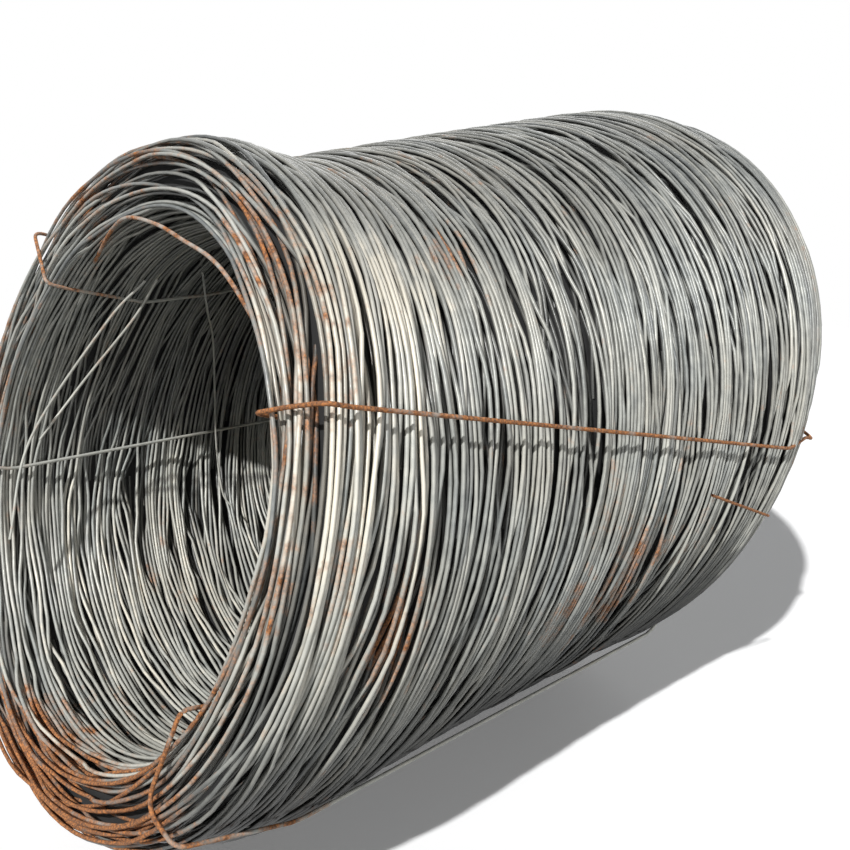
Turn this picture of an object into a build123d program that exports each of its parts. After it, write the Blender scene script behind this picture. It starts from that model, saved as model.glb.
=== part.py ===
from build123d import *
import os
from math import cos, pi, radians, sin, tan

# Coil of hot-rolled steel wire rod, lying on its side and bound by four tie wires. Millimetres.
# The coil runs along Y from its open front end and lies on the floor at Z = 0.
# Each turn is a true circle that leans back at its top. Angles on a turn run from
# 3 o'clock towards 12, as seen from the front.

# Wire rod
rod_diameter = 6.5

# The coil, and the radii that its turns reach
coil_length = 1266.0
lean_angle = 17.1
bore_radius = 440.0
lip_radius = 569.0
belly_radius = 654.0
tail_radius = 612.0
belly_position = 1102.0
lip_round = 39.0
tail_round = 37.0
bore_edge = 12.0

# Both ends ride above the floor, and the middle has slumped to the left
lip_lift = 68.0
lip_lift_reach = 255.0
tail_lift = 66.0
side_slump = 28.0

# Turns that show as ridges on both ends, and the bands that make up the wall
ridge_pitch = 4 * rod_diameter
ridge_depth = rod_diameter / 2
band_count = 8

# Tie wires: size, clearance, bends, and the angles where each one crosses both ends.
# Along the wall a wire stands off a little further, since its bends cut inside its corners.
tie_diameter = 6.5
tie_sides = 6
seat_gap = 0.3
stand_off = 1.2
lip_bend = 40.0
edge_bend = 16.0
flank_bend = 60.0
bend_share = 0.45
least_turn = 0.4
knot_length = 70.0
ties = {
    "tie_wire_right": {"outside": (21.9, -6.6), "bore": (24.0, 3.0), "bow": 0.0},
    "tie_wire_left": {"outside": (183.0, 190.0), "bore": (190.5, 194.5), "bow": 0.0},
    "tie_wire_bottom": {"outside": (-42.3, -46.0), "bore": (-31.0, -42.0), "bow": -11.5},
    "tie_wire_top": {"outside": (138.5, 130.0), "bore": (138.5, 133.0), "bow": 0.0},
}

front_base = lip_round * cos(radians(lean_angle))
back_base = coil_length - tail_round * cos(radians(lean_angle))
band_length = (back_base - front_base) / band_count
stations = [front_base + band_length * band for band in range(band_count + 1)]
tie_offset = tie_diameter / 2 + seat_gap
knot_station = band_count - 2


def eased(start, end, share):
    """Smooth step from start to end."""
    return start + (end - start) * (1 - cos(pi * share)) / 2


def outer_radius(position):
    """Radius of the outermost turn at a place along the coil."""
    if position < belly_position:
        return lip_radius + (belly_radius - lip_radius) * position / belly_position
    share = (position - belly_position) / (coil_length - belly_position)
    return eased(belly_radius, tail_radius, share)


def lift(position):
    """How far the lowest point of a turn rides above the floor."""
    if position < lip_lift_reach:
        return eased(lip_lift, 0.0, position / lip_lift_reach)
    if position > belly_position:
        share = (position - belly_position) / (coil_length - belly_position)
        return eased(0.0, tail_lift, share)
    return 0.0


def turn_frame(position):
    """The place of a turn: its centre as origin, and Y square to its plane."""
    height = outer_radius(position) * cos(radians(lean_angle)) + lift(position)
    slump = side_slump * sin(pi * position / coil_length)
    return Pos(-slump, position, height) * Rot(X=-lean_angle)


def on_turn(position, radius, angle, behind=0.0):
    """A point at a radius and angle on a turn, or that far behind its plane."""
    across = radius * cos(radians(angle))
    up = radius * sin(radians(angle))
    return (turn_frame(position) * Pos(across, behind, up)).position


def disc(radius, position):
    """A flat disc in the plane of a turn."""
    return turn_frame(position) * (Plane.XZ * Circle(radius))


def wall():
    """The coil's wall between its two ends, in straight bands from turn to turn."""
    outside = loft([disc(outer_radius(place), place) for place in stations], ruled=True)
    bore = loft([disc(bore_radius, place) for place in stations], ruled=True)
    return outside - bore


def ridged_contour(outer, edge_round):
    """Ridged end face as radius and depth, from the bore's edge over the rounded rim."""
    inner = bore_radius + bore_edge
    flat = outer - edge_round - inner
    length = flat + edge_round * pi / 2
    halves = 2 * max(1, int(length // ridge_pitch))
    points = []
    for half in range(halves + 1):
        walk = length * half / halves
        sink = ridge_depth if half % 2 else 0.0
        if walk < flat:
            points.append((inner + walk, sink))
        else:
            bend = (walk - flat) / edge_round
            reach = edge_round - sink
            points.append(
                (outer - edge_round + reach * sin(bend), edge_round - reach * cos(bend))
            )
    return points


def end_collar(outer, edge_round):
    """One turned end of the coil, its face at Y = 0 and its back at Y = edge_round."""
    with BuildSketch() as section:
        with BuildLine():
            Polyline(
                (bore_radius, edge_round),
                (bore_radius, bore_edge),
                *ridged_contour(outer, edge_round),
                close=True,
            )
        make_face()
    return revolve(section.sketch, Axis.Y)


def rod_coil():
    """The wall with a turned collar on each end, as one solid with its bore."""
    front = end_collar(outer_radius(front_base), lip_round)
    back = end_collar(outer_radius(back_base), tail_round)
    front_place = turn_frame(front_base) * Pos(0, -lip_round, 0)
    back_place = turn_frame(back_base) * Pos(0, tail_round, 0) * Rot(X=180)
    return wall() + front_place * front + back_place * back


def fitting_bend(before, corner, after, largest):
    """The bend at a corner: the largest wanted, or what its two runs have room for."""
    turn = (corner - before).get_angle(after - corner)
    shorter = min((corner - before).length, (after - corner).length)
    return min(largest, bend_share * shorter / tan(radians(turn / 2)))


def turning(corners):
    """Both ends, and the corners between them where the wire really turns."""
    bent = [
        corner
        for before, corner, after in zip(corners, corners[1:], corners[2:])
        if (corner[0] - before[0]).get_angle(after[0] - corner[0]) > least_turn
    ]
    return [corners[0], *bent, corners[-1]]


def wire(corners):
    """Wire through corners, each a point with the largest bend wanted there."""
    corners = turning(corners)
    points = [point for point, bend in corners]
    bends = [
        fitting_bend(before, corner, after, bend)
        for before, (corner, bend), after in zip(points, corners[1:], points[2:])
    ]
    path = FilletPolyline(*points, radius=bends)
    start = Plane(origin=path @ 0, z_dir=path % 0)
    return sweep(start * RegularPolygon(tie_diameter / 2, tie_sides), path=path)


def is_clear(start, end, between, inside):
    """Whether a straight wire stays clear of the turns at the stations it passes."""
    for position in between:
        centre = turn_frame(position).position
        square = on_turn(position, 0, 0, behind=1) - centre
        share = (centre - start).dot(square) / (end - start).dot(square)
        radius = (start + (end - start) * share - centre).length
        if inside and radius > bore_radius - tie_offset:
            return False
        if not inside and radius < outer_radius(position) + tie_offset:
            return False
    return True


def taut_run(first, last, angles, inside):
    """Points of a wire pulled tight between two stations, along the bore or the outside."""
    step = 1 if last > first else -1
    turn = (angles[1] - angles[0]) / (stations[-1] - stations[0])

    def seat(number):
        place = stations[number]
        clearance = tie_offset + stand_off
        radius = bore_radius - clearance if inside else outer_radius(place) + clearance
        return on_turn(place, radius, angles[0] + turn * (place - stations[0]))

    run = [first]
    while run[-1] != last:
        here = run[-1]
        reach = last
        while reach != here + step:
            between = stations[min(here, reach) + 1 : max(here, reach)]
            if is_clear(seat(here), seat(reach), between, inside):
                break
            reach -= step
        run.append(reach)
    return [(seat(number), flank_bend) for number in run]


def tie_wire(outside, bore, bow):
    """A tie wire drawn tight round the wall, its two ends lapped inside the bore."""
    inner = bore_radius - tie_offset
    front_outer = outer_radius(front_base) + tie_offset
    back_outer = outer_radius(back_base) + tie_offset
    front = -lip_round - tie_offset
    back = tail_round + tie_offset
    middle = (inner + front_outer) / 2
    middle_angle = (outside[0] + bore[0]) / 2 + bow
    lap = inner - tie_diameter - seat_gap
    knot_place = stations[knot_station]
    knot_angle = bore[0] + (bore[1] - bore[0]) * knot_station / band_count
    corners = [
        *taut_run(knot_station, 0, bore, True),
        (on_turn(front_base, inner, bore[0], front), edge_bend),
        (on_turn(front_base, middle, middle_angle, front), flank_bend),
        (on_turn(front_base, front_outer, outside[0], front), lip_bend),
        *taut_run(0, band_count, outside, False),
        (on_turn(back_base, back_outer, outside[1], back), lip_bend),
        (on_turn(back_base, inner, bore[1], back), edge_bend),
        *taut_run(band_count, knot_station + 1, bore, True),
        (on_turn(knot_place, lap, knot_angle), flank_bend),
        (on_turn(knot_place - knot_length, lap, knot_angle), flank_bend),
    ]
    return wire(corners)


nodes = {"rod_coil": rod_coil()}
for name, route in ties.items():
    nodes[name] = tie_wire(**route)

# The origin is the middle of the footprint, on the floor
box = Compound(list(nodes.values())).bounding_box()
centred = Pos(-box.center().X, -box.center().Y, -box.min.Z)

os.makedirs("parts", exist_ok=True)
for name, shape in nodes.items():
    export_step(centred * shape, f"parts/{name}.step")
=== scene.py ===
import math

import bpy
import numpy as np
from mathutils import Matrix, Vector


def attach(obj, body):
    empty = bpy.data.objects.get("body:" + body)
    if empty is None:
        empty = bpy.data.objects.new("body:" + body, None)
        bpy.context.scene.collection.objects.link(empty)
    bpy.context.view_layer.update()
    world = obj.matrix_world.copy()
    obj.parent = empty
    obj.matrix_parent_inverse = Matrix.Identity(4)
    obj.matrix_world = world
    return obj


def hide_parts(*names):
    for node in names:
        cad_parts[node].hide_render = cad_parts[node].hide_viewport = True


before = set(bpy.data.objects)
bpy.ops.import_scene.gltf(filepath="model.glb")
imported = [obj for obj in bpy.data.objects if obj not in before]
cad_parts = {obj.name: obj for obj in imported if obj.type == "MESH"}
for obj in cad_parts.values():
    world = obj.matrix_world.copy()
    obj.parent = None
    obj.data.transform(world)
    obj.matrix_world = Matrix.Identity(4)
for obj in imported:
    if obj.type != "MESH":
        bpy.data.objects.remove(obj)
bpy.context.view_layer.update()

# The coil, in metres. Each turn is a true circle that leans back at its top.
# A place on it is a distance along the coil, a radius, and an angle from 3 o'clock towards 12.
ROD = 0.0065
COIL_LENGTH = 1.266
LEAN = math.radians(17.1)
BORE_RADIUS = 0.440
LIP_RADIUS = 0.569
BELLY_RADIUS = 0.654
TAIL_RADIUS = 0.612
BELLY_PLACE = 1.102
LIP_ROUND = 0.039
TAIL_ROUND = 0.037
LIP_LIFT = 0.068
LIP_LIFT_REACH = 0.255
TAIL_LIFT = 0.066
SIDE_SLUMP = 0.028
MIDDLE_X = 0.0094
MIDDLE_Y = -0.6399

FRONT_BASE = LIP_ROUND * math.cos(LEAN)
BACK_BASE = COIL_LENGTH - TAIL_ROUND * math.cos(LEAN)
PILE_HEIGHT = COIL_LENGTH * math.cos(LEAN)


def eased(start, end, share):
    """Smooth step from start to end."""
    return start + (end - start) * (1.0 - np.cos(np.pi * share)) / 2.0


def wall_radius(place):
    """Radius of the outermost turn, without the rounding at both rims."""
    place = np.clip(place, 0.0, COIL_LENGTH)
    rising = LIP_RADIUS + (BELLY_RADIUS - LIP_RADIUS) * place / BELLY_PLACE
    share = np.clip((place - BELLY_PLACE) / (COIL_LENGTH - BELLY_PLACE), 0.0, 1.0)
    return np.where(place < BELLY_PLACE, rising, eased(BELLY_RADIUS, TAIL_RADIUS, share))


def lift(place):
    """How far the lowest point of a turn rides above the floor."""
    front = eased(LIP_LIFT, 0.0, np.clip(place / LIP_LIFT_REACH, 0.0, 1.0))
    past_belly = (place - BELLY_PLACE) / (COIL_LENGTH - BELLY_PLACE)
    return front + eased(0.0, TAIL_LIFT, np.clip(past_belly, 0.0, 1.0))


def point(place, radius, angle):
    """World points on the coil. Past its two bases the turns move square to their plane."""
    place, radius, angle = np.broadcast_arrays(place, radius, angle)
    base = np.clip(place, FRONT_BASE, BACK_BASE)
    behind = (place - base) / math.cos(LEAN)
    height = wall_radius(base) * math.cos(LEAN) + lift(base)
    up = radius * np.sin(angle)
    x = radius * np.cos(angle) - SIDE_SLUMP * np.sin(np.pi * base / COIL_LENGTH) + MIDDLE_X
    y = base + behind * math.cos(LEAN) + up * math.sin(LEAN) + MIDDLE_Y
    z = height - behind * math.sin(LEAN) + up * math.cos(LEAN)
    return np.stack([x, y, z], -1)


def rim_cut(rounding, from_end):
    """How much of the radius the rounding of a rim takes off at a distance from that end."""
    short = np.maximum(rounding - from_end, 0.0)
    return rounding - np.sqrt(np.maximum(rounding**2 - short**2, 0.0))


def outer_limit(place):
    """Largest radius of a rod's centre, with the rounding at both rims."""
    from_front = np.clip(place, 0.0, COIL_LENGTH) * math.cos(LEAN)
    from_back = np.clip(COIL_LENGTH - place, 0.0, COIL_LENGTH) * math.cos(LEAN)
    front_cut = rim_cut(LIP_ROUND, from_front)
    back_cut = rim_cut(TAIL_ROUND, from_back)
    return wall_radius(place) - front_cut - back_cut - ROD / 2


# Laying the turns: each one drops on the pile of those before it, from the back end to the front.
# The pile is a height for every step round a turn and every cell of radius across the wall.
TURN_SEED = 11
ANGLE_STEPS = 192
RADIUS_STEP = 0.0015
CELL_REACH = 4
PILE_START = BORE_RADIUS - 0.02
PILE_CELLS = 173
EMPTY_HEIGHT = -1.0
NO_CONTACT = -9.0

# How a turn comes to rest on the pile, how far it may sag or dip, and the pile's running top
REST_GAP = 0.0001
SETTLE_REACH = 3
SAG = 0.012
DIP_REACH = 30
DIP_DEPTH = 0.004
TOP_EASE = 0.3
END_MARGIN = 0.004

# Near an end the lowest of several turns is kept, and the last turns are levelled
END_DEPTH = 0.090
END_TRIES = 12
LEVEL_TURNS = 20
LEVEL_REACH = 10

# Shares of turns that lie within the wall, and where across it; the others run from side to side
END_FILLING = 0.6
FILLING = 0.06
WITHIN_MIDDLES = (0.1, 0.9)
WITHIN_REACHES = (0.1, 0.7)
ACROSS_REACHES = (0.7, 1.7)
SHARE_WAVE = 0.07
SHARE_COUNTS = (2, 3, 5)
SUNK_WAVE = 0.0055
SUNK_COUNTS = (1, 2, 3, 5, 8)
SUNK_SPREAD = 0.0028
TURN_REACH = 3
PHASE_SPREAD = 0.35
GOLDEN_ANGLE = math.pi * (3.0 - math.sqrt(5.0))
angles = np.arange(ANGLE_STEPS) * 2.0 * np.pi / ANGLE_STEPS


def waves(chance, amplitude, counts):
    """A smooth random wave round a turn."""
    total = np.zeros(ANGLE_STEPS)
    for count in counts:
        height = chance.normal(0.0, amplitude / count)
        total += height * np.cos(count * angles + chance.uniform(0.0, 2.0 * np.pi))
    return total


def smoothed(values, reach):
    """Values round a turn, averaged over a reach on both sides."""
    weights = np.hanning(2 * reach + 3)[1:-1]
    padded = np.concatenate([values[-reach:], values, values[:reach]])
    return np.convolve(padded, weights / weights.sum(), "valid")


def bridged(values, reach):
    """The highest value within a reach on both sides."""
    padded = np.concatenate([values[-reach:], values, values[:reach]])
    return np.max([padded[shift : shift + ANGLE_STEPS] for shift in range(2 * reach + 1)], axis=0)


def turn_shares(chance, phase, middle, reach):
    """How far across the wall a turn lies at every angle, from the bore (0) to the outside (1)."""
    share = middle + 0.5 * reach * np.cos(angles - phase) + waves(chance, SHARE_WAVE, SHARE_COUNTS)
    return np.clip(share, 0.0, 1.0)


def rested(pile, radius, floor):
    """Cells of the pile under a turn, and the height at which it comes to rest there."""
    cell = ((radius - PILE_START) / RADIUS_STEP).round().astype(int)
    cell = np.clip(cell, CELL_REACH, PILE_CELLS - CELL_REACH - 1)
    near = cell[:, None] + np.arange(-CELL_REACH, CELL_REACH + 1)[None, :]
    rows = np.arange(ANGLE_STEPS)
    gap = PILE_START + near * RADIUS_STEP - radius[:, None]
    rise = np.where(np.abs(gap) < ROD, np.sqrt(np.maximum(ROD**2 - gap**2, 0.0)), NO_CONTACT)
    contact = np.maximum(np.max(pile[rows[:, None], near] + rise, axis=1), floor)
    rest = smoothed(bridged(contact, SETTLE_REACH), SETTLE_REACH) + REST_GAP
    return cell, np.maximum(rest, smoothed(rest, DIP_REACH) - DIP_DEPTH)


def new_turn(chance, phase, place, filling):
    """Radius of a turn at every angle: lying within the wall, or running from side to side."""
    if chance.uniform() < filling:
        middle = chance.uniform(*WITHIN_MIDDLES)
        share = turn_shares(chance, phase, middle, chance.uniform(*WITHIN_REACHES))
    else:
        share = turn_shares(chance, phase, 0.5, chance.uniform(*ACROSS_REACHES))
    sunk = np.abs(waves(chance, SUNK_WAVE, SUNK_COUNTS)) + abs(chance.normal(0.0, SUNK_SPREAD))
    inner = BORE_RADIUS + ROD / 2 + sunk
    outer = outer_limit(place) - sunk
    return smoothed(inner + share * (outer - inner), TURN_REACH)


def lay_turns():
    """Radius and place of every turn at every angle."""
    chance = np.random.default_rng(TURN_SEED)
    pile = np.full((ANGLE_STEPS, PILE_CELLS), EMPTY_HEIGHT)
    rows = np.arange(ANGLE_STEPS)
    end_height = PILE_HEIGHT - ROD / 2
    top = ROD / 2
    phase = 0.0
    turns = []
    while top < end_height:
        place = COIL_LENGTH - top / math.cos(LEAN)
        place = np.clip(place, END_MARGIN, COIL_LENGTH - END_MARGIN)
        near_end = min(top, end_height - top) < END_DEPTH
        floor = max(ROD / 2, top - SAG)
        lowest = None
        for _ in range(END_TRIES if near_end else 1):
            phase += GOLDEN_ANGLE + chance.normal(0.0, PHASE_SPREAD)
            radius = new_turn(chance, phase, place, END_FILLING if near_end else FILLING)
            cell, rest = rested(pile, radius, floor)
            if lowest is None or rest.mean() < lowest[2].mean():
                lowest = (radius, cell, rest)
        radius, cell, rest = lowest
        pile[rows, cell] = rest
        top += TOP_EASE * (float(np.mean(rest)) - top)
        turns.append((radius, rest))
    radii = np.array([turn[0] for turn in turns])
    heights = np.array([turn[1] for turn in turns])
    level = smoothed(heights[-LEVEL_TURNS:].max(0), LEVEL_REACH)
    heights = np.minimum(heights * end_height / level, end_height)
    places = COIL_LENGTH - heights / math.cos(LEAN)
    return np.minimum(radii, outer_limit(places)), places


# A ring round a rod starts square to its path and this axis, or to the spare one where they align
RING_AXIS = (0.0, 1.0, 0.21)
SPARE_AXIS = (0.0, 0.3, 1.0)
LEAST_CROSS = 0.3


def placed(name, mesh):
    """A new object in the scene."""
    made = bpy.data.objects.new(name, mesh)
    bpy.context.scene.collection.objects.link(made)
    return made


class Tubes:
    """A mesh of many round rods, each along its own path."""

    def __init__(self, name, sides):
        self.name = name
        self.sides = sides
        self.corners = []
        self.faces = []
        self.tones = []
        self.rusts = []
        self.painted_shades = []
        self.count = 0

    def add(self, path, radius, tone, rust, painted_shade=0.0, closed=False):
        """One rod along a path, with its tone, how rusty it is and how far painted shade darkens
        it.
        """
        path = np.asarray(path, float)
        steps = len(path)
        if closed:
            along = np.roll(path, -1, 0) - np.roll(path, 1, 0)
        else:
            along = np.gradient(path, axis=0)
        along /= np.linalg.norm(along, axis=1, keepdims=True)
        side = np.cross(along, RING_AXIS)
        weak = np.linalg.norm(side, axis=1) < LEAST_CROSS
        side[weak] = np.cross(along[weak], SPARE_AXIS)
        side /= np.linalg.norm(side, axis=1, keepdims=True)
        up = np.cross(along, side)
        turn = np.arange(self.sides) * 2.0 * np.pi / self.sides
        across, above = np.cos(turn)[None, :, None], np.sin(turn)[None, :, None]
        ring = side[:, None] * across + up[:, None] * above
        thick = np.broadcast_to(radius, steps)[:, None, None]
        self.corners.append((path[:, None] + ring * thick).reshape(-1, 3))
        first = np.arange(steps if closed else steps - 1)[:, None]
        here, there = first * self.sides, (first + 1) % steps * self.sides
        this = np.arange(self.sides)[None, :]
        after = (this + 1) % self.sides
        quads = np.stack([here + this, here + after, there + after, there + this], -1)
        self.faces.append(quads.reshape(-1, 4) + self.count)
        self.count += steps * self.sides
        for kept, value in ((self.tones, tone), (self.rusts, rust), (self.painted_shades, painted_shade)):
            kept.append(np.repeat(np.broadcast_to(value, steps), self.sides))

    def build(self, material):
        """The finished object in the scene."""
        corners = np.concatenate(self.corners)
        faces = np.concatenate(self.faces)
        mesh = bpy.data.meshes.new(self.name)
        mesh.vertices.add(len(corners))
        mesh.vertices.foreach_set("co", corners.astype(np.float32).ravel())
        mesh.loops.add(faces.size)
        mesh.loops.foreach_set("vertex_index", faces.astype(np.int32).ravel())
        mesh.polygons.add(len(faces))
        mesh.polygons.foreach_set("loop_start", np.arange(0, faces.size, 4, dtype=np.int32))
        mesh.polygons.foreach_set("use_smooth", np.ones(len(faces), bool))
        mesh.update(calc_edges=True)
        for name, values in (("tone", self.tones), ("rust", self.rusts), ("painted_shade", self.painted_shades)):
            attribute = mesh.attributes.new(name, "FLOAT", "POINT")
            attribute.data.foreach_set("value", np.concatenate(values).astype(np.float32))
        mesh.materials.append(material)
        return placed(self.name, mesh)


def shown_runs(shown):
    """Runs of neighbouring steps to keep round a turn, or None for the whole turn."""
    if shown.all():
        return None
    start = int(np.argmin(shown))
    turned = np.roll(shown, -start)
    edges = np.flatnonzero(np.diff(np.concatenate([[False], turned, [False]]).astype(int)))
    return [(np.arange(a, b) + start) % len(shown) for a, b in zip(edges[::2], edges[1::2])]


# Tone of the turns: its middle and spread, and how much painted shade darkens it towards the tail
TONE_MIDDLE = 0.5
TONE_SPREAD = 0.2
TAIL_PAINTED_SHADE = 0.15

# A turn's own rust at most, and how unevenly the turns take up the rust patches and the patches of
# painted light
RUST_MOST = 0.20
RUST_RANGE = (0.4, 1.2)
PAINTED_LIGHT_RANGE = (0.2, 1.6)

# Where rust shows: place along the coil, angle, spread along, spread round, and strength
RUST_PATCHES = (
    (0.000, -92.0, 0.060, 32.0, 0.92),
    (0.015, -55.0, 0.030, 16.0, 0.50),
    (0.010, 175.0, 0.030, 22.0, 0.35),
    (0.000, 57.0, 0.035, 15.0, 0.60),
    (0.000, -15.0, 0.016, 24.0, 0.50),
    (0.295, 48.0, 0.050, 6.0, 0.40),
    (0.070, 1.0, 0.070, 9.0, 0.35),
    (0.170, -8.0, 0.050, 8.0, 0.20),
    (0.680, -17.0, 0.180, 12.0, 0.50),
    (0.020, 135.0, 0.050, 30.0, 0.28),
    (0.020, 98.0, 0.050, 24.0, 0.32),
    (0.150, -10.0, 0.060, 14.0, 0.14),
    (0.100, -100.0, 0.120, 16.0, 0.30),
    (0.040, 20.0, 0.045, 18.0, 0.30),
)

# Patches of painted light that make the rods pale, in the same way: a painted glare highlight on
# the upper right shoulder near the front, painted light on the right near the front end, and
# painted light at the lower left where the eye is lit.
PAINTED_LIGHT_PATCHES = (
    (0.120, 41.0, 0.100, 10.0, 1.00),
    (0.060, 18.0, 0.110, 30.0, 0.80),
    (0.300, -125.0, 0.450, 50.0, 0.35),
)


def patchy(patches, place, angle):
    """How strongly patches show at places and angles on the coil."""
    total = np.zeros(np.shape(place))
    for centre, degrees, along, around, strength in patches:
        turned = (np.degrees(angle) - degrees + 180.0) % 360.0 - 180.0
        total += strength * np.exp(-(((place - centre) / along) ** 2) - (turned / around) ** 2)
    return total


def eased_in(value, start, end):
    """0 before start, 1 past end, and a smooth step between them."""
    share = np.clip((value - start) / (end - start), 0.0, 1.0)
    return share * share * (3.0 - 2.0 * share)


# How far rods are darkened at most, all of it painted shade. Deep in the pile, in the eye's roof
# and on the upper left it is fitted to the shadow in the photo; on the underside and top it is a
# guess.
DEEP_PAINTED_SHADE = 0.8
ROOF_PAINTED_SHADE = 0.50
SHADED_DARK = 0.20
UNDERSIDE_PAINTED_SHADE = 0.94
TOP_PAINTED_SHADE = 0.50

# Where each of them starts and is full: depths in metres, and heights on a turn of radius 1
DEEP_RANGE = (0.004, 0.022)
SURFACE_RANGE = (-0.030, -0.004)
ROOF_RANGE = (-0.15, 0.35)
ROOF_TURN = math.radians(12.0)
FROM_FRONT_RANGE = (0.03, 0.16)
FROM_BACK_RANGE = (0.05, 0.30)
SHADED_RANGE = (0.40, 0.90)
SHADED_TURN = math.radians(50.0)
UNDERSIDE_RANGE = (0.15, 0.70)
TOP_RANGE = (0.45, 0.95)


def painted_shade_amount(place, radius, angle):
    """How far painted shade darkens a rod's colour: in the pile, under the eye's roof, on the
    upper left, the underside and the top. How far a rod's colour is darkened, as the fitted
    shade and the guessed dirt say.
    """
    out_of = outer_limit(place) - radius
    into = radius - BORE_RADIUS - ROD / 2
    from_end = np.minimum(place, COIL_LENGTH - place) * math.cos(LEAN) - ROD / 2
    deep = DEEP_PAINTED_SHADE * eased_in(np.minimum(np.minimum(out_of, into), from_end), *DEEP_RANGE)
    roof = eased_in(np.sin(angle - ROOF_TURN), *ROOF_RANGE)
    inside = eased_in(-into, *SURFACE_RANGE)
    inside = inside * eased_in(place, *FROM_FRONT_RANGE)
    inside = inside * eased_in(COIL_LENGTH - place, *FROM_BACK_RANGE)
    outside = eased_in(-out_of, *SURFACE_RANGE)
    # Painted shade on the underside and on the top of the coil
    underside = UNDERSIDE_PAINTED_SHADE * eased_in(-np.sin(angle), *UNDERSIDE_RANGE)
    underside_and_top_shade = underside + TOP_PAINTED_SHADE * eased_in(np.sin(angle), *TOP_RANGE)
    shaded = SHADED_DARK * eased_in(np.sin(angle - SHADED_TURN), *SHADED_RANGE)
    in_shade = np.maximum(deep, ROOF_PAINTED_SHADE * roof * inside)
    return np.maximum(in_shade, np.maximum(underside_and_top_shade * outside, shaded))


# Turns are meshed down to this depth, in pieces along the coil, with every other step kept
SHOWN_DEPTH = 0.036
END_SHOWN = 1.3
TURN_PIECES = 7
TURN_SIDES = 5
STRIDE = 2
SHORTEST_RUN = 4


def build_turns(material):
    """The turns that show on the outside, in the bore and on both ends."""
    radii, places = lay_turns()
    chance = np.random.default_rng(TURN_SEED + 1)
    pieces = [Tubes(f"turns_{part}", TURN_SIDES) for part in range(TURN_PIECES)]
    for radius, place in zip(radii, places):
        part = int(np.mean(place) / COIL_LENGTH * TURN_PIECES)
        tubes = pieces[min(part, TURN_PIECES - 1)]
        tone = np.clip(chance.normal(TONE_MIDDLE, TONE_SPREAD), 0.0, 1.0)
        # Painted shade: the tone falls towards the tail
        tone = tone - TAIL_PAINTED_SHADE * place / COIL_LENGTH
        rusty = min(chance.beta(1.0, 7.0), RUST_MOST)
        rusty = rusty + patchy(RUST_PATCHES, place, angles) * chance.uniform(*RUST_RANGE)
        # Painted light: the patches raise the tone to paint glare and lit areas pale
        tone = tone + patchy(PAINTED_LIGHT_PATCHES, place, angles) * chance.uniform(*PAINTED_LIGHT_RANGE)
        # Painted shade for the rod: in the pile, the eye's roof, the upper left, the underside and
        # the top
        painted_shade = painted_shade_amount(place, radius, angles)
        path = point(place, radius, angles)
        from_end = np.minimum(place, COIL_LENGTH - place)
        covered = np.minimum(outer_limit(place) - radius, radius - BORE_RADIUS)
        runs = shown_runs((covered < SHOWN_DEPTH) | (from_end < SHOWN_DEPTH * END_SHOWN))
        if runs is None:
            kept = np.arange(0, ANGLE_STEPS, STRIDE)
            tubes.add(path[kept], ROD / 2, tone[kept], rusty[kept], painted_shade[kept], closed=True)
            continue
        for run in runs:
            if len(run) >= SHORTEST_RUN:
                last = len(run) - 1
                kept = run[np.unique(np.concatenate([np.arange(0, len(run), STRIDE), [last]]))]
                tubes.add(path[kept], ROD / 2, tone[kept], rusty[kept], painted_shade[kept])
    return [tubes.build(material) for tubes in pieces]


CORE_DEPTH = 0.034
CORE_STEPS = 40
CORE_SIDES = 72
# Near-black of the pile's inside, as painted shade
PILE_PAINTED_SHADE_COLOUR = (0.02, 0.02, 0.02)
CORE_ROUGHNESS = 0.9


def build_core(material):
    """The inside of the pile, a near-black sheet of painted shade, so nothing shows through it."""
    outside = np.linspace(CORE_DEPTH, COIL_LENGTH - CORE_DEPTH, CORE_STEPS)
    rim_radius = outer_limit(outside) - CORE_DEPTH
    inner = np.full(CORE_STEPS, BORE_RADIUS + CORE_DEPTH)
    loop_place = np.concatenate([outside, outside[::-1]])
    loop_radius = np.concatenate([rim_radius, inner])
    around = np.linspace(0.0, 2.0 * np.pi, CORE_SIDES, endpoint=False)
    grid = point(loop_place[:, None], loop_radius[:, None], around[None, :])
    loops, steps = grid.shape[:2]
    row = np.arange(loops)[:, None] * steps
    here = row + np.arange(steps)[None, :]
    after = row + (np.arange(steps)[None, :] + 1) % steps
    quads = np.stack([here, after, np.roll(after, -1, 0), np.roll(here, -1, 0)], -1).reshape(-1, 4)
    mesh = bpy.data.meshes.new("pile_core")
    mesh.from_pydata(grid.reshape(-1, 3).tolist(), [], quads.tolist())
    mesh.materials.append(material)
    return placed("pile_core", mesh)


def node(tree, kind, **values):
    """A new node with its settings."""
    made = tree.nodes.new(kind)
    for name, value in values.items():
        setattr(made, name, value)
    return made


def plain_material(name, colour, roughness):
    """One colour and roughness all over."""
    material = bpy.data.materials.new(name)
    material.use_nodes = True
    shader = material.node_tree.nodes["Principled BSDF"]
    shader.inputs["Base Color"].default_value = (*colour, 1.0)
    shader.inputs["Roughness"].default_value = roughness
    return material


def noise(tree, scale, detail):
    """A noise texture in the object's own space."""
    place = node(tree, "ShaderNodeTexCoord")
    made = node(tree, "ShaderNodeTexNoise")
    made.inputs["Scale"].default_value = scale
    made.inputs["Detail"].default_value = detail
    tree.links.new(place.outputs["Object"], made.inputs["Vector"])
    return made.outputs["Fac"]


def ramp(tree, value, stops):
    """A colour ramp with stops of (position, colour)."""
    made = node(tree, "ShaderNodeValToRGB")
    elements = made.color_ramp.elements
    elements[0].position, elements[0].color = stops[0][0], (*stops[0][1], 1.0)
    elements[1].position, elements[1].color = stops[-1][0], (*stops[-1][1], 1.0)
    for position, colour in stops[1:-1]:
        elements.new(position).color = (*colour, 1.0)
    tree.links.new(value, made.inputs["Fac"])
    return made.outputs["Color"]


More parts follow.
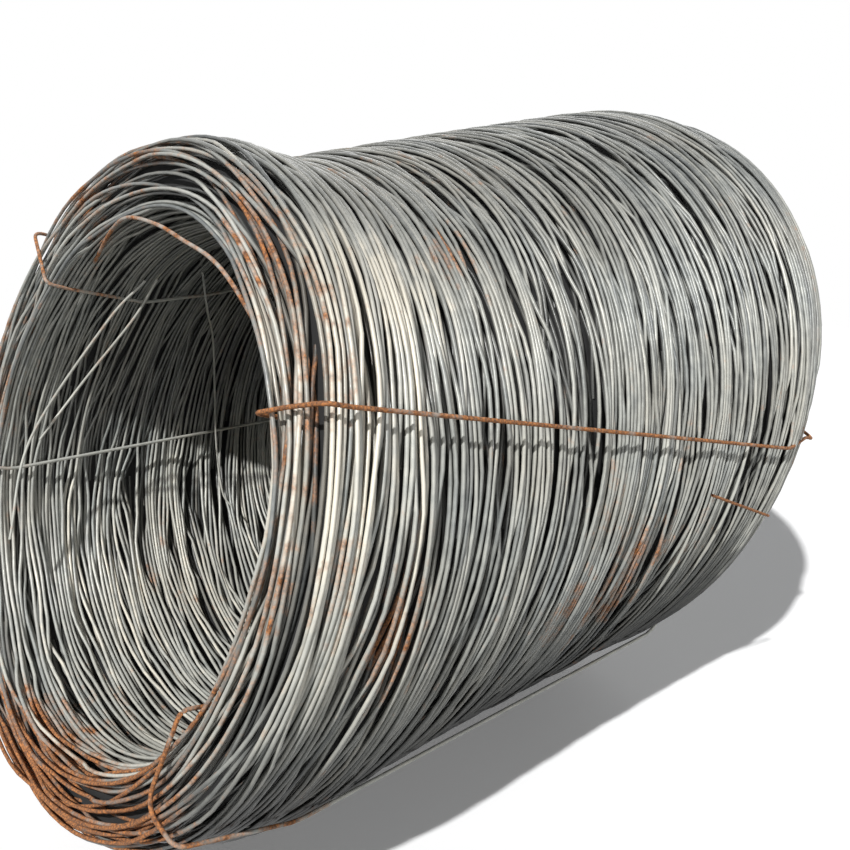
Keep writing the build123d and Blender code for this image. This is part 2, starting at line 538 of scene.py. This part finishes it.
def maths(tree, operation, first, second, third=None, clamp=False):
    """A maths node on sockets or numbers."""
    made = node(tree, "ShaderNodeMath", operation=operation, use_clamp=clamp)
    for socket, value in zip(made.inputs, (first, second, third)):
        if value is None:
            continue
        if isinstance(value, (int, float)):
            socket.default_value = value
        else:
            tree.links.new(value, socket)
    return made.outputs[0]


def blended(tree, share, first, second):
    """Two colours mixed by a share."""
    made = node(tree, "ShaderNodeMix", data_type="RGBA")
    sockets = (made.inputs[0], made.inputs[6], made.inputs[7])
    for socket, value in zip(sockets, (share, first, second)):
        if isinstance(value, (int, float)):
            socket.default_value = value
        elif isinstance(value, tuple):
            socket.default_value = (*value, 1.0)
        else:
            tree.links.new(value, socket)
    return made.outputs[2]


def seen_rays(tree):
    """1 for camera, glossy and transmission rays, and 0 for the rays that light the object."""
    rays = node(tree, "ShaderNodeLightPath")
    seen = maths(tree, "MAXIMUM", rays.outputs["Is Camera Ray"], rays.outputs["Is Glossy Ray"])
    return maths(tree, "MAXIMUM", seen, rays.outputs["Is Transmission Ray"])


# Noise textures of the rods, as scale and detail
BROAD_NOISE = (5.0, 3.0)
FINE_NOISE = (45.0, 4.0)
GRAIN_NOISE = (260.0, 3.0)
METALLIC = 0.05
SPECULAR_LEVEL = 0.45
BUMP_STRENGTH = 0.35
BUMP_DISTANCE = 0.0006

# Near-black that the rods are blended to as painted shade
PAINTED_SHADE_BLACK = (0.012, 0.013, 0.014)
SCALE_DARK = (0.170, 0.182, 0.180)
SCALE_MIDDLE = (0.400, 0.412, 0.385)
SCALE_LIGHT = (0.640, 0.635, 0.575)
# The palest scale colour, reached by pale rods and by the painted glare and light patches
SCALE_PALE_AND_PAINTED_GLARE = (0.880, 0.830, 0.710)
SCALE_KHAKI = (0.420, 0.370, 0.280)
RUST_DARK = (0.110, 0.052, 0.030)
RUST_BROWN = (0.300, 0.130, 0.055)
RUST_ORANGE = (0.600, 0.240, 0.080)
SCALE_STOPS = ((0.12, SCALE_DARK), (0.46, SCALE_MIDDLE), (0.80, SCALE_LIGHT), (1.0, SCALE_PALE_AND_PAINTED_GLARE))
OXIDE_STOPS = ((0.32, RUST_DARK), (0.50, RUST_BROWN), (0.66, RUST_ORANGE))

# How much the noise and the piece's own values count in shade, khaki, rust and roughness
TONE_SHADE = 0.7
FINE_SHADE = 0.7
SHADE_BASE = -0.20
BROAD_KHAKI = 2.4
KHAKI_BASE = -0.95
KHAKI_SHARE = 0.45
BROAD_RUST = 0.9
FINE_RUST = 1.1
RUST_BASE = -1.35
RUST_CONTRAST = 2.6
RUST_ROUGH = 0.45
GRAIN_ROUGH = 0.30
ROUGH_BASE = 0.20


def rod_material(name):
    """Grey mill scale in the piece's own tone, paler where painted light raises it, near-black
    where painted shade says so, with rust spots.
    """
    material = bpy.data.materials.new(name)
    material.use_nodes = True
    tree = material.node_tree
    shader = tree.nodes["Principled BSDF"]
    tone = node(tree, "ShaderNodeAttribute", attribute_name="tone").outputs["Fac"]
    rust = node(tree, "ShaderNodeAttribute", attribute_name="rust").outputs["Fac"]
    broad = noise(tree, *BROAD_NOISE)
    fine = noise(tree, *FINE_NOISE)
    grain = noise(tree, *GRAIN_NOISE)
    shade = maths(tree, "MULTIPLY_ADD", tone, TONE_SHADE, SHADE_BASE)
    shade = maths(tree, "MULTIPLY_ADD", fine, FINE_SHADE, shade)
    steel = ramp(tree, shade, SCALE_STOPS)
    khaki = maths(tree, "MULTIPLY_ADD", broad, BROAD_KHAKI, KHAKI_BASE, clamp=True)
    steel = blended(tree, khaki, steel, blended(tree, KHAKI_SHARE, steel, SCALE_KHAKI))
    # Painted shade: the steel colour is blended towards near-black by the rod's painted shade
    painted_shade = node(tree, "ShaderNodeAttribute", attribute_name="painted_shade").outputs["Fac"]
    steel = blended(tree, painted_shade, steel, PAINTED_SHADE_BLACK)
    spots = maths(tree, "MULTIPLY_ADD", broad, BROAD_RUST, RUST_BASE)
    spots = maths(tree, "MULTIPLY_ADD", fine, FINE_RUST, spots)
    rusty = maths(tree, "MULTIPLY", maths(tree, "ADD", spots, rust), RUST_CONTRAST, clamp=True)
    oxide = ramp(tree, grain, OXIDE_STOPS)
    tree.links.new(blended(tree, rusty, steel, oxide), shader.inputs["Base Color"])
    metallic = maths(tree, "MULTIPLY_ADD", rusty, -METALLIC, METALLIC)
    tree.links.new(metallic, shader.inputs["Metallic"])
    shader.inputs["Specular IOR Level"].default_value = SPECULAR_LEVEL
    rough = maths(tree, "MULTIPLY_ADD", rusty, RUST_ROUGH, ROUGH_BASE)
    rough = maths(tree, "MULTIPLY_ADD", grain, GRAIN_ROUGH, rough)
    tree.links.new(rough, shader.inputs["Roughness"])
    bump = node(tree, "ShaderNodeBump")
    bump.inputs["Strength"].default_value = BUMP_STRENGTH
    bump.inputs["Distance"].default_value = BUMP_DISTANCE
    tree.links.new(grain, bump.inputs["Height"])
    tree.links.new(bump.outputs["Normal"], shader.inputs["Normal"])
    return material


FLOOR_PALE = (0.95, 0.95, 0.95)
FLOOR_DULL = (0.22, 0.22, 0.21)
FLOOR_GLOW = 0.14
FLOOR_REACH = 6.0


def floor_material():
    """A pale floor that stays pale to the eye and sends little light back up into the coil."""
    material = bpy.data.materials.new("pale_floor")
    material.use_nodes = True
    tree = material.node_tree
    tree.nodes.remove(tree.nodes["Principled BSDF"])
    lit = node(tree, "ShaderNodeBsdfDiffuse")
    dull = node(tree, "ShaderNodeBsdfDiffuse")
    glow = node(tree, "ShaderNodeEmission")
    pale = node(tree, "ShaderNodeAddShader")
    lit.inputs["Color"].default_value = (*FLOOR_PALE, 1.0)
    glow.inputs["Strength"].default_value = FLOOR_GLOW
    tree.links.new(lit.outputs[0], pale.inputs[0])
    tree.links.new(glow.outputs[0], pale.inputs[1])
    dull.inputs["Color"].default_value = (*FLOOR_DULL, 1.0)
    mix = node(tree, "ShaderNodeMixShader")
    tree.links.new(seen_rays(tree), mix.inputs[0])
    tree.links.new(dull.outputs[0], mix.inputs[1])
    tree.links.new(pale.outputs[0], mix.inputs[2])
    tree.links.new(mix.outputs[0], tree.nodes["Material Output"].inputs["Surface"])
    return material


# Tie wires: the same routes as the CAD, drawn tight from turn to turn
TIE_OFFSET = 0.00355
STAND_OFF = 0.0012
BANDS = 8
KNOT_BAND = 6
KNOT_LENGTH = 0.070
LAP_GAP = 0.0003
LIP_BEND = 0.040
EDGE_BEND = 0.016
FLANK_BEND = 0.060
BEND_SHARE = 0.45
BEND_STEP = 12.0
PATH_STEP = 0.012
TIE_SIDES = 10
TIE_TONE = 0.7
TIES = {
    "tie_wire_right": {"outside": (21.9, -6.6), "bore": (24.0, 3.0), "bow": 0.0},
    "tie_wire_left": {"outside": (183.0, 190.0), "bore": (190.5, 194.5), "bow": 0.0},
    "tie_wire_bottom": {"outside": (-42.3, -46.0), "bore": (-31.0, -42.0), "bow": -11.5},
    "tie_wire_top": {"outside": (138.5, 130.0), "bore": (138.5, 133.0), "bow": 0.0},
}

# How rusty each tie is at the lip, and past this reach behind it
LIP_RUST_REACH = 0.25
TIE_RUST = {
    "tie_wire_right": (0.85, 0.75),
    "tie_wire_left": (0.45, 0.05),
    "tie_wire_bottom": (0.70, 0.05),
    "tie_wire_top": (0.85, 0.45),
}
stops = np.linspace(FRONT_BASE, BACK_BASE, BANDS + 1)


def spot(place, radius, degrees):
    """A world point on the coil, as a vector."""
    return Vector(point(place, radius, math.radians(degrees)))


def taut_run(first, last, turned, inside):
    """Points of a wire pulled tight between two stops, along the bore or the outside."""
    step = 1 if last > first else -1

    def seat(number):
        """Where the wire touches down at a stop."""
        clearance = TIE_OFFSET + STAND_OFF
        if inside:
            radius = BORE_RADIUS - clearance
        else:
            radius = float(wall_radius(stops[number])) + clearance
        return spot(stops[number], radius, turned[0] + (turned[1] - turned[0]) * number / BANDS)

    def clear(start, end, number):
        """Whether a straight wire passes clear of the turn at a stop."""
        centre = spot(stops[number], 0.0, 0.0)
        square = Vector((0.0, math.cos(LEAN), -math.sin(LEAN)))
        share = (centre - start).dot(square) / (end - start).dot(square)
        radius = (start + (end - start) * share - centre).length
        if inside:
            return radius <= BORE_RADIUS - TIE_OFFSET
        return radius >= float(wall_radius(stops[number])) + TIE_OFFSET

    run = [first]
    while run[-1] != last:
        here = run[-1]
        reach = last
        while reach != here + step:
            passed = range(min(here, reach) + 1, max(here, reach))
            if all(clear(seat(here), seat(reach), number) for number in passed):
                break
            reach -= step
        run.append(reach)
    return [(seat(number), FLANK_BEND) for number in run]


def tie_corners(outside, bore, bow):
    """Corners of a tie wire, each with the bend wanted there, as on the CAD node."""
    inner = BORE_RADIUS - TIE_OFFSET
    front_outer = float(wall_radius(FRONT_BASE)) + TIE_OFFSET
    back_outer = float(wall_radius(BACK_BASE)) + TIE_OFFSET
    front = -TIE_OFFSET / math.cos(LEAN)
    back = COIL_LENGTH + TIE_OFFSET / math.cos(LEAN)
    middle_angle = (outside[0] + bore[0]) / 2 + bow
    lap = inner - ROD - LAP_GAP
    knot_angle = bore[0] + (bore[1] - bore[0]) * KNOT_BAND / BANDS
    knot_place = stops[KNOT_BAND]
    return [
        *taut_run(KNOT_BAND, 0, bore, True),
        (spot(front, inner, bore[0]), EDGE_BEND),
        (spot(front, (inner + front_outer) / 2, middle_angle), FLANK_BEND),
        (spot(front, front_outer, outside[0]), LIP_BEND),
        *taut_run(0, BANDS, outside, False),
        (spot(back, back_outer, outside[1]), LIP_BEND),
        (spot(back, inner, bore[1]), EDGE_BEND),
        *taut_run(BANDS, KNOT_BAND + 1, bore, True),
        (spot(knot_place, lap, knot_angle), FLANK_BEND),
        (spot(knot_place - KNOT_LENGTH, lap, knot_angle), FLANK_BEND),
    ]


def bent_path(corners):
    """Straight runs between corners, each corner rounded to its bend."""
    points = [corner for corner, bend in corners]
    path = [points[0]]
    for before, (corner, bend), after in zip(points, corners[1:], points[2:]):
        turn = (corner - before).angle(after - corner, 0.0)
        room = BEND_SHARE * min((corner - before).length, (after - corner).length)
        cut = min(bend * math.tan(turn / 2), room)
        start = corner + (before - corner).normalized() * cut
        end = corner + (after - corner).normalized() * cut
        pieces = max(1, int(math.degrees(turn) / BEND_STEP))
        for number in range(pieces + 1):
            share = number / pieces
            left = 1 - share
            path.append(left**2 * start + 2 * share * left * corner + share**2 * end)
    path.append(points[-1])
    fine = [path[0]]
    for here, there in zip(path, path[1:]):
        pieces = max(1, int((there - here).length / PATH_STEP))
        fine += [here.lerp(there, (number + 1) / pieces) for number in range(pieces)]
    return np.array([tuple(place) for place in fine])


def build_tie(name, material):
    """One tie wire as a smooth round wire."""
    tubes = Tubes(name + "_wire", TIE_SIDES)
    path = bent_path(tie_corners(**TIES[name]))
    at_lip, behind = TIE_RUST[name]
    rust = at_lip + (behind - at_lip) * eased_in(path[:, 1] - MIDDLE_Y, 0.0, LIP_RUST_REACH)
    tubes.add(path, ROD / 2, TIE_TONE, rust)
    return tubes.build(material)


# The slipped turn at the front end: angle, radius and place of each point on it
INNER_TURN = (
    (128.0, 0.436, 0.050),
    (112.0, 0.428, 0.020),
    (98.6, 0.423, 0.000),
    (84.0, 0.412, -0.002),
    (71.7, 0.410, 0.000),
    (60.0, 0.425, 0.000),
    (51.0, 0.436, 0.002),
    (40.0, 0.447, 0.012),
)


def inner_turn_points():
    """A rusty turn that has slipped into the eye at the front end."""
    middle = (MIDDLE_X, MIDDLE_Y, 0.0)
    return [
        tuple(point(place, radius, math.radians(turned)) - middle)
        for turned, radius, place in INNER_TURN
    ]


# Loose ends and turns: radius, how rusty, and points from the middle of the front end plane
LOOSE_SIDES = 8
LOOSE_TONE = 0.7
CURVE_PIECES = 12
LOOSE_WIRES = {
    "hanging_wire": (
        0.0022,
        0.10,
        (
            (-0.285, 0.375, 0.940),
            (-0.299, 0.391, 0.826),
            (-0.368, 0.440, 0.739),
            (-0.410, 0.456, 0.512),
            (-0.375, 0.443, 0.402),
            (-0.354, 0.453, 0.364),
        ),
    ),
    "stray_wire_1": (
        0.0026,
        0.20,
        (
            (-0.250, 0.260, 0.900),
            (-0.289, 0.224, 0.824),
            (-0.360, 0.148, 0.706),
            (-0.378, 0.055, 0.598),
        ),
    ),
    "stray_wire_2": (
        0.0026,
        0.30,
        (
            (-0.240, 0.230, 0.900),
            (-0.291, 0.168, 0.819),
            (-0.378, 0.037, 0.601),
            (-0.336, -0.036, 0.428),
        ),
    ),
    "inner_turn": (ROD / 2, 0.70, inner_turn_points()),
    "stray_wire_3": (0.0026, 0.90, ((0.629, 0.812, 0.556), (0.638, 1.021, 0.466))),
}


def smooth_path(points):
    """A smooth path through points."""
    points = [np.array(place) for place in points]
    full = [2 * points[0] - points[1], *points, 2 * points[-1] - points[-2]]
    path = []
    for before, start, end, after in zip(full, full[1:], full[2:], full[3:]):
        slope = end - before
        bend = 2 * before - 5 * start + 4 * end - after
        twist = 3 * start - before - 3 * end + after
        for number in range(CURVE_PIECES):
            share = number / CURVE_PIECES
            path.append(0.5 * (2 * start + slope * share + bend * share**2 + twist * share**3))
    path.append(points[-1])
    return np.array(path)


def build_loose(name, material):
    """A loose end or turn of wire."""
    radius, rusty, points = LOOSE_WIRES[name]
    tubes = Tubes(name, LOOSE_SIDES)
    path = smooth_path(points) + np.array([MIDDLE_X, MIDDLE_Y, 0.0])
    tubes.add(path, radius, LOOSE_TONE, rusty)
    return tubes.build(material)


CAMERA_PLACE = (1.3304 + MIDDLE_X, -0.5442 + MIDDLE_Y, 1.0684)
CAMERA_YAW = 46.31
CAMERA_PITCH = 14.99
LENS = 37.46
SENSOR_WIDTH = 36.0


def make_camera():
    """The camera at the photo's viewing angle."""
    camera = placed("camera", bpy.data.cameras.new("camera"))
    camera.data.lens = LENS
    camera.data.sensor_width = SENSOR_WIDTH
    camera.location = CAMERA_PLACE
    camera.rotation_euler = (math.radians(90.0 - CAMERA_PITCH), 0.0, math.radians(CAMERA_YAW))
    bpy.context.scene.camera = camera


def make_floor():
    """A plain pale floor under the coil."""
    near, far = -FLOOR_REACH, FLOOR_REACH
    mesh = bpy.data.meshes.new("floor")
    corners = [(near, near, 0), (far, near, 0), (far, far, 0), (near, far, 0)]
    mesh.from_pydata(corners, [], [(0, 1, 2, 3)])
    mesh.materials.append(floor_material())
    floor = placed("floor", mesh)


# Lamps: strength, width in degrees, and where each one shines from
LAMPS = {
    "key": (3.5, 1.5, (0.225, -0.635, 0.735)),
    "side_fill": (0.90, 30.0, (0.95, -0.25, 0.10)),
    "back_fill": (0.60, 40.0, (-0.55, 0.75, 0.35)),
}
DOME_COLOUR = (0.9, 0.95, 1.0)
DOME_STRENGTH = 0.08


def make_light():
    """The lamps, and a white world that lights the coil only weakly."""
    for name, (strength, softness, source) in LAMPS.items():
        light = bpy.data.lights.new(name, "SUN")
        light.energy = strength
        light.angle = math.radians(softness)
        lamp = placed(name, light)
        lamp.rotation_euler = Vector(source).to_track_quat("Z", "Y").to_euler()
    world = bpy.data.worlds.new("world")
    world.use_nodes = True
    tree = world.node_tree
    white = node(tree, "ShaderNodeBackground")
    white.inputs["Color"].default_value = (1.0, 1.0, 1.0, 1.0)
    dome = tree.nodes["Background"]
    dome.inputs["Color"].default_value = (*DOME_COLOUR, 1.0)
    dome.inputs["Strength"].default_value = DOME_STRENGTH
    mix = node(tree, "ShaderNodeMixShader")
    tree.links.new(seen_rays(tree), mix.inputs[0])
    tree.links.new(dome.outputs[0], mix.inputs[1])
    tree.links.new(white.outputs[0], mix.inputs[2])
    tree.links.new(mix.outputs[0], tree.nodes["World Output"].inputs["Surface"])
    bpy.context.scene.world = world


steel = rod_material("mill_scale")
tie_steel = rod_material("rusty_tie")
for piece in build_turns(steel):
    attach(piece, "root")
    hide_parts("rod_coil")
for name in TIES:
    tie = build_tie(name, tie_steel)
    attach(tie, "root")
    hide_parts(name)
for name in LOOSE_WIRES:
    loose = build_loose(name, steel)
    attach(loose, "root")
core = build_core(plain_material("pile_shade", PILE_PAINTED_SHADE_COLOUR, CORE_ROUGHNESS))
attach(core, "root")
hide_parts("rod_coil")

make_camera()
make_floor()
make_light()
bpy.context.scene.view_settings.view_transform = "Standard"
